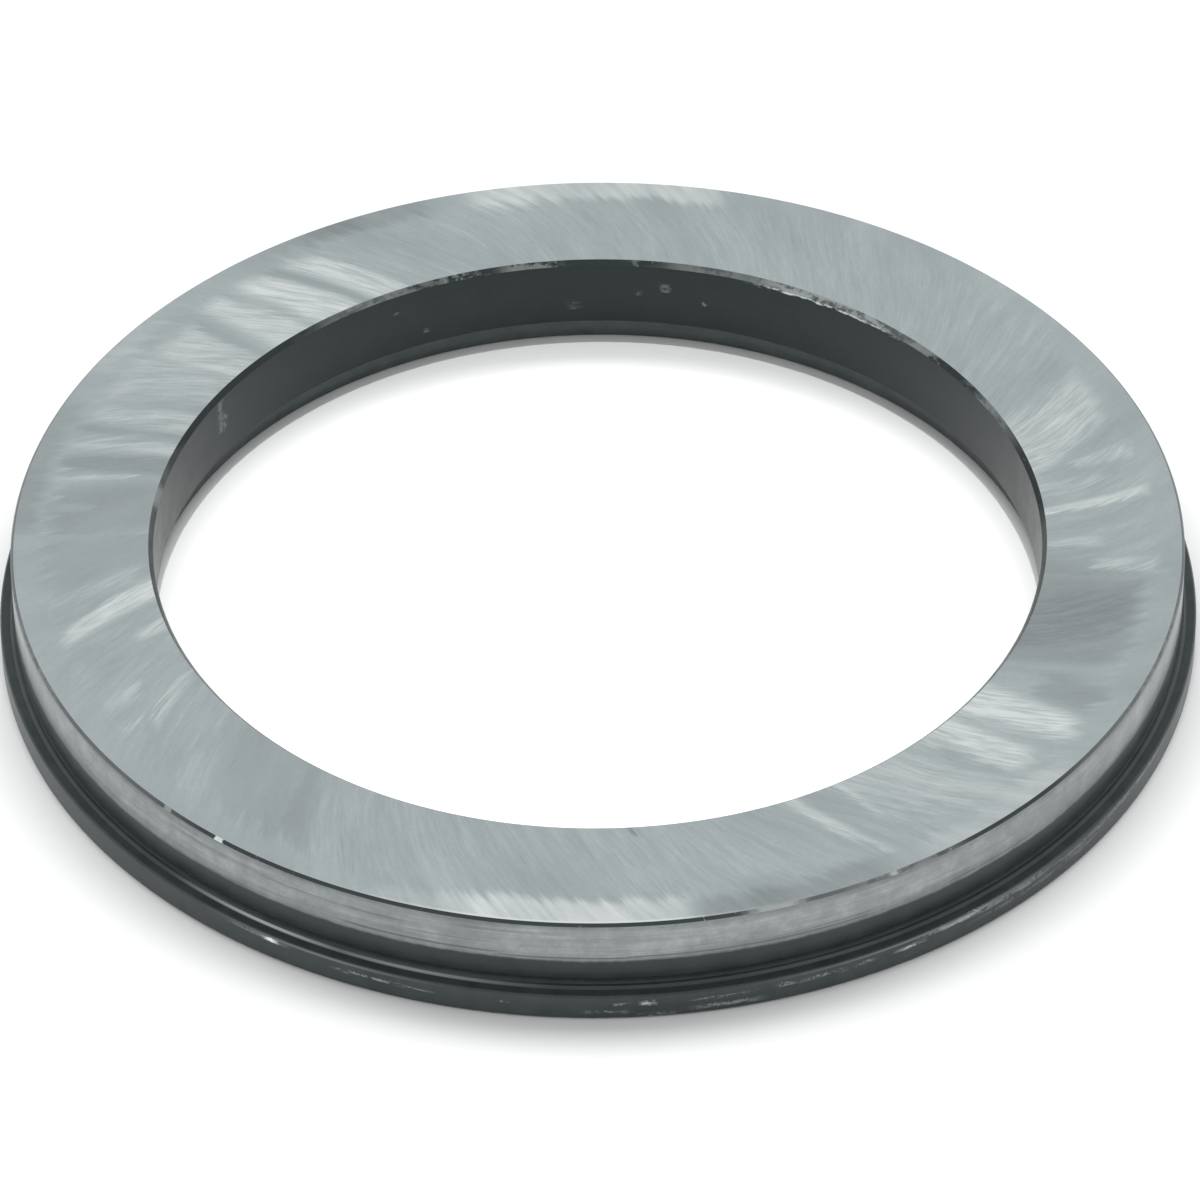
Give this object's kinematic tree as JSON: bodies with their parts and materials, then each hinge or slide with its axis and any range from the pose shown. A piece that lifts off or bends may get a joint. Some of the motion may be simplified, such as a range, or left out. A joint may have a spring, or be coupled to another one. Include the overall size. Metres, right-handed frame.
{
  "type": "thrust ball bearing",
  "caption": "Closed single-direction thrust ball bearing: a channel-section upper ring turns on caged balls over a flanged lower ring, with lip seals inside.",
  "frame": {"origin": "centre of the bearing's bottom face, on its axis", "axes": "+Z along the bearing's axis, from the flanged lower ring to the upper ring"},
  "size_m": [0.1354, 0.1354, 0.012],
  "materials": {
    "ground_steel": "ground bright on the top face and the upper half of the rim, dark phosphated below and in the bore",
    "black_steel": "dark phosphated, worn bright on its edges",
    "cage_steel": "pressed sheet, satin",
    "ball_steel": "polished bearing steel",
    "seal_rubber": "matt black elastomer with a film of grease"
  },
  "bodies": {
    "lower_ring": {"lower_race": "black_steel", "outer_seal": "seal_rubber", "inner_seal": "seal_rubber"},
    "upper_ring": {"upper_race": "ground_steel"},
    "ball_cage": {"cage": "cage_steel"},
    "ball_01": {"ball_01": "ball_steel"},
    "ball_02": {"ball_02": "ball_steel"},
    "ball_03": {"ball_03": "ball_steel"},
    "ball_04": {"ball_04": "ball_steel"},
    "ball_05": {"ball_05": "ball_steel"},
    "ball_06": {"ball_06": "ball_steel"},
    "ball_07": {"ball_07": "ball_steel"},
    "ball_08": {"ball_08": "ball_steel"},
    "ball_09": {"ball_09": "ball_steel"},
    "ball_10": {"ball_10": "ball_steel"},
    "ball_11": {"ball_11": "ball_steel"},
    "ball_12": {"ball_12": "ball_steel"},
    "ball_13": {"ball_13": "ball_steel"},
    "ball_14": {"ball_14": "ball_steel"},
    "ball_15": {"ball_15": "ball_steel"},
    "ball_16": {"ball_16": "ball_steel"},
    "ball_17": {"ball_17": "ball_steel"},
    "ball_18": {"ball_18": "ball_steel"},
    "ball_19": {"ball_19": "ball_steel"},
    "ball_20": {"ball_20": "ball_steel"},
    "ball_21": {"ball_21": "ball_steel"},
    "ball_22": {"ball_22": "ball_steel"},
    "ball_23": {"ball_23": "ball_steel"},
    "ball_24": {"ball_24": "ball_steel"},
    "ball_25": {"ball_25": "ball_steel"},
    "ball_26": {"ball_26": "ball_steel"},
    "ball_27": {"ball_27": "ball_steel"},
    "ball_28": {"ball_28": "ball_steel"},
    "ball_29": {"ball_29": "ball_steel"},
    "ball_30": {"ball_30": "ball_steel"},
    "ball_31": {"ball_31": "ball_steel"},
    "ball_32": {"ball_32": "ball_steel"},
    "ball_33": {"ball_33": "ball_steel"},
    "ball_34": {"ball_34": "ball_steel"},
    "ball_35": {"ball_35": "ball_steel"},
    "ball_36": {"ball_36": "ball_steel"},
    "ball_37": {"ball_37": "ball_steel"},
    "ball_38": {"ball_38": "ball_steel"},
    "ball_39": {"ball_39": "ball_steel"},
    "ball_40": {"ball_40": "ball_steel"}
  },
  "joints": [
    {"name": "upper_spin", "type": "hinge", "parent": "lower_ring", "child": "upper_ring", "pos_m": [0, 0, 0.006], "axis": [0, 0, 1], "continuous": true},
    {"name": "cage_spin", "type": "hinge", "parent": "lower_ring", "child": "ball_cage", "pos_m": [0, 0, 0.006], "axis": [0, 0, 1], "continuous": true},
    {"name": "ball_01_spin", "type": "hinge", "parent": "ball_cage", "child": "ball_01", "pos_m": [0.05765, 0, 0.006], "axis": [1, 0, 0], "continuous": true},
    {"name": "ball_02_spin", "type": "hinge", "parent": "ball_cage", "child": "ball_02", "pos_m": [0.05694, 0.00902, 0.006], "axis": [0.9877, 0.1564, 0], "continuous": true},
    {"name": "ball_03_spin", "type": "hinge", "parent": "ball_cage", "child": "ball_03", "pos_m": [0.05483, 0.01781, 0.006], "axis": [0.9511, 0.309, 0], "continuous": true},
    {"name": "ball_04_spin", "type": "hinge", "parent": "ball_cage", "child": "ball_04", "pos_m": [0.05137, 0.02617, 0.006], "axis": [0.891, 0.454, 0], "continuous": true},
    {"name": "ball_05_spin", "type": "hinge", "parent": "ball_cage", "child": "ball_05", "pos_m": [0.04664, 0.03389, 0.006], "axis": [0.809, 0.5878, 0], "continuous": true},
    {"name": "ball_06_spin", "type": "hinge", "parent": "ball_cage", "child": "ball_06", "pos_m": [0.04076, 0.04076, 0.006], "axis": [0.7071, 0.7071, 0], "continuous": true},
    {"name": "ball_07_spin", "type": "hinge", "parent": "ball_cage", "child": "ball_07", "pos_m": [0.03389, 0.04664, 0.006], "axis": [0.5878, 0.809, 0], "continuous": true},
    {"name": "ball_08_spin", "type": "hinge", "parent": "ball_cage", "child": "ball_08", "pos_m": [0.02617, 0.05137, 0.006], "axis": [0.454, 0.891, 0], "continuous": true},
    {"name": "ball_09_spin", "type": "hinge", "parent": "ball_cage", "child": "ball_09", "pos_m": [0.01781, 0.05483, 0.006], "axis": [0.309, 0.9511, 0], "continuous": true},
    {"name": "ball_10_spin", "type": "hinge", "parent": "ball_cage", "child": "ball_10", "pos_m": [0.00902, 0.05694, 0.006], "axis": [0.1564, 0.9877, 0], "continuous": true},
    {"name": "ball_11_spin", "type": "hinge", "parent": "ball_cage", "child": "ball_11", "pos_m": [0, 0.05765, 0.006], "axis": [0, 1, 0], "continuous": true},
    {"name": "ball_12_spin", "type": "hinge", "parent": "ball_cage", "child": "ball_12", "pos_m": [-0.00902, 0.05694, 0.006], "axis": [-0.1564, 0.9877, 0], "continuous": true},
    {"name": "ball_13_spin", "type": "hinge", "parent": "ball_cage", "child": "ball_13", "pos_m": [-0.01781, 0.05483, 0.006], "axis": [-0.309, 0.9511, 0], "continuous": true},
    {"name": "ball_14_spin", "type": "hinge", "parent": "ball_cage", "child": "ball_14", "pos_m": [-0.02617, 0.05137, 0.006], "axis": [-0.454, 0.891, 0], "continuous": true},
    {"name": "ball_15_spin", "type": "hinge", "parent": "ball_cage", "child": "ball_15", "pos_m": [-0.03389, 0.04664, 0.006], "axis": [-0.5878, 0.809, 0], "continuous": true},
    {"name": "ball_16_spin", "type": "hinge", "parent": "ball_cage", "child": "ball_16", "pos_m": [-0.04076, 0.04076, 0.006], "axis": [-0.7071, 0.7071, 0], "continuous": true},
    {"name": "ball_17_spin", "type": "hinge", "parent": "ball_cage", "child": "ball_17", "pos_m": [-0.04664, 0.03389, 0.006], "axis": [-0.809, 0.5878, 0], "continuous": true},
    {"name": "ball_18_spin", "type": "hinge", "parent": "ball_cage", "child": "ball_18", "pos_m": [-0.05137, 0.02617, 0.006], "axis": [-0.891, 0.454, 0], "continuous": true},
    {"name": "ball_19_spin", "type": "hinge", "parent": "ball_cage", "child": "ball_19", "pos_m": [-0.05483, 0.01781, 0.006], "axis": [-0.9511, 0.309, 0], "continuous": true},
    {"name": "ball_20_spin", "type": "hinge", "parent": "ball_cage", "child": "ball_20", "pos_m": [-0.05694, 0.00902, 0.006], "axis": [-0.9877, 0.1564, 0], "continuous": true},
    {"name": "ball_21_spin", "type": "hinge", "parent": "ball_cage", "child": "ball_21", "pos_m": [-0.05765, 0, 0.006], "axis": [-1, 0, 0], "continuous": true},
    {"name": "ball_22_spin", "type": "hinge", "parent": "ball_cage", "child": "ball_22", "pos_m": [-0.05694, -0.00902, 0.006], "axis": [-0.9877, -0.1564, 0], "continuous": true},
    {"name": "ball_23_spin", "type": "hinge", "parent": "ball_cage", "child": "ball_23", "pos_m": [-0.05483, -0.01781, 0.006], "axis": [-0.9511, -0.309, 0], "continuous": true},
    {"name": "ball_24_spin", "type": "hinge", "parent": "ball_cage", "child": "ball_24", "pos_m": [-0.05137, -0.02617, 0.006], "axis": [-0.891, -0.454, 0], "continuous": true},
    {"name": "ball_25_spin", "type": "hinge", "parent": "ball_cage", "child": "ball_25", "pos_m": [-0.04664, -0.03389, 0.006], "axis": [-0.809, -0.5878, 0], "continuous": true},
    {"name": "ball_26_spin", "type": "hinge", "parent": "ball_cage", "child": "ball_26", "pos_m": [-0.04076, -0.04076, 0.006], "axis": [-0.7071, -0.7071, 0], "continuous": true},
    {"name": "ball_27_spin", "type": "hinge", "parent": "ball_cage", "child": "ball_27", "pos_m": [-0.03389, -0.04664, 0.006], "axis": [-0.5878, -0.809, 0], "continuous": true},
    {"name": "ball_28_spin", "type": "hinge", "parent": "ball_cage", "child": "ball_28", "pos_m": [-0.02617, -0.05137, 0.006], "axis": [-0.454, -0.891, 0], "continuous": true},
    {"name": "ball_29_spin", "type": "hinge", "parent": "ball_cage", "child": "ball_29", "pos_m": [-0.01781, -0.05483, 0.006], "axis": [-0.309, -0.9511, 0], "continuous": true},
    {"name": "ball_30_spin", "type": "hinge", "parent": "ball_cage", "child": "ball_30", "pos_m": [-0.00902, -0.05694, 0.006], "axis": [-0.1564, -0.9877, 0], "continuous": true},
    {"name": "ball_31_spin", "type": "hinge", "parent": "ball_cage", "child": "ball_31", "pos_m": [0, -0.05765, 0.006], "axis": [0, -1, 0], "continuous": true},
    {"name": "ball_32_spin", "type": "hinge", "parent": "ball_cage", "child": "ball_32", "pos_m": [0.00902, -0.05694, 0.006], "axis": [0.1564, -0.9877, 0], "continuous": true},
    {"name": "ball_33_spin", "type": "hinge", "parent": "ball_cage", "child": "ball_33", "pos_m": [0.01781, -0.05483, 0.006], "axis": [0.309, -0.9511, 0], "continuous": true},
    {"name": "ball_34_spin", "type": "hinge", "parent": "ball_cage", "child": "ball_34", "pos_m": [0.02617, -0.05137, 0.006], "axis": [0.454, -0.891, 0], "continuous": true},
    {"name": "ball_35_spin", "type": "hinge", "parent": "ball_cage", "child": "ball_35", "pos_m": [0.03389, -0.04664, 0.006], "axis": [0.5878, -0.809, 0], "continuous": true},
    {"name": "ball_36_spin", "type": "hinge", "parent": "ball_cage", "child": "ball_36", "pos_m": [0.04076, -0.04076, 0.006], "axis": [0.7071, -0.7071, 0], "continuous": true},
    {"name": "ball_37_spin", "type": "hinge", "parent": "ball_cage", "child": "ball_37", "pos_m": [0.04664, -0.03389, 0.006], "axis": [0.809, -0.5878, 0], "continuous": true},
    {"name": "ball_38_spin", "type": "hinge", "parent": "ball_cage", "child": "ball_38", "pos_m": [0.05137, -0.02617, 0.006], "axis": [0.891, -0.454, 0], "continuous": true},
    {"name": "ball_39_spin", "type": "hinge", "parent": "ball_cage", "child": "ball_39", "pos_m": [0.05483, -0.01781, 0.006], "axis": [0.9511, -0.309, 0], "continuous": true},
    {"name": "ball_40_spin", "type": "hinge", "parent": "ball_cage", "child": "ball_40", "pos_m": [0.05694, -0.00902, 0.006], "axis": [0.9877, -0.1564, 0], "continuous": true}
  ],
  "couplings": [
    {"joint": "cage_spin", "follows": "upper_spin", "ratio": 0.5},
    {"joint": "ball_01_spin", "follows": "upper_spin", "ratio": -9.6083},
    {"joint": "ball_02_spin", "follows": "upper_spin", "ratio": -9.6083},
    {"joint": "ball_03_spin", "follows": "upper_spin", "ratio": -9.6083},
    {"joint": "ball_04_spin", "follows": "upper_spin", "ratio": -9.6083},
    {"joint": "ball_05_spin", "follows": "upper_spin", "ratio": -9.6083},
    {"joint": "ball_06_spin", "follows": "upper_spin", "ratio": -9.6083},
    {"joint": "ball_07_spin", "follows": "upper_spin", "ratio": -9.6083},
    {"joint": "ball_08_spin", "follows": "upper_spin", "ratio": -9.6083},
    {"joint": "ball_09_spin", "follows": "upper_spin", "ratio": -9.6083},
    {"joint": "ball_10_spin", "follows": "upper_spin", "ratio": -9.6083},
    {"joint": "ball_11_spin", "follows": "upper_spin", "ratio": -9.6083},
    {"joint": "ball_12_spin", "follows": "upper_spin", "ratio": -9.6083},
    {"joint": "ball_13_spin", "follows": "upper_spin", "ratio": -9.6083},
    {"joint": "ball_14_spin", "follows": "upper_spin", "ratio": -9.6083},
    {"joint": "ball_15_spin", "follows": "upper_spin", "ratio": -9.6083},
    {"joint": "ball_16_spin", "follows": "upper_spin", "ratio": -9.6083},
    {"joint": "ball_17_spin", "follows": "upper_spin", "ratio": -9.6083},
    {"joint": "ball_18_spin", "follows": "upper_spin", "ratio": -9.6083},
    {"joint": "ball_19_spin", "follows": "upper_spin", "ratio": -9.6083},
    {"joint": "ball_20_spin", "follows": "upper_spin", "ratio": -9.6083},
    {"joint": "ball_21_spin", "follows": "upper_spin", "ratio": -9.6083},
    {"joint": "ball_22_spin", "follows": "upper_spin", "ratio": -9.6083},
    {"joint": "ball_23_spin", "follows": "upper_spin", "ratio": -9.6083},
    {"joint": "ball_24_spin", "follows": "upper_spin", "ratio": -9.6083},
    {"joint": "ball_25_spin", "follows": "upper_spin", "ratio": -9.6083},
    {"joint": "ball_26_spin", "follows": "upper_spin", "ratio": -9.6083},
    {"joint": "ball_27_spin", "follows": "upper_spin", "ratio": -9.6083},
    {"joint": "ball_28_spin", "follows": "upper_spin", "ratio": -9.6083},
    {"joint": "ball_29_spin", "follows": "upper_spin", "ratio": -9.6083},
    {"joint": "ball_30_spin", "follows": "upper_spin", "ratio": -9.6083},
    {"joint": "ball_31_spin", "follows": "upper_spin", "ratio": -9.6083},
    {"joint": "ball_32_spin", "follows": "upper_spin", "ratio": -9.6083},
    {"joint": "ball_33_spin", "follows": "upper_spin", "ratio": -9.6083},
    {"joint": "ball_34_spin", "follows": "upper_spin", "ratio": -9.6083},
    {"joint": "ball_35_spin", "follows": "upper_spin", "ratio": -9.6083},
    {"joint": "ball_36_spin", "follows": "upper_spin", "ratio": -9.6083},
    {"joint": "ball_37_spin", "follows": "upper_spin", "ratio": -9.6083},
    {"joint": "ball_38_spin", "follows": "upper_spin", "ratio": -9.6083},
    {"joint": "ball_39_spin", "follows": "upper_spin", "ratio": -9.6083},
    {"joint": "ball_40_spin", "follows": "upper_spin", "ratio": -9.6083}
  ]
}
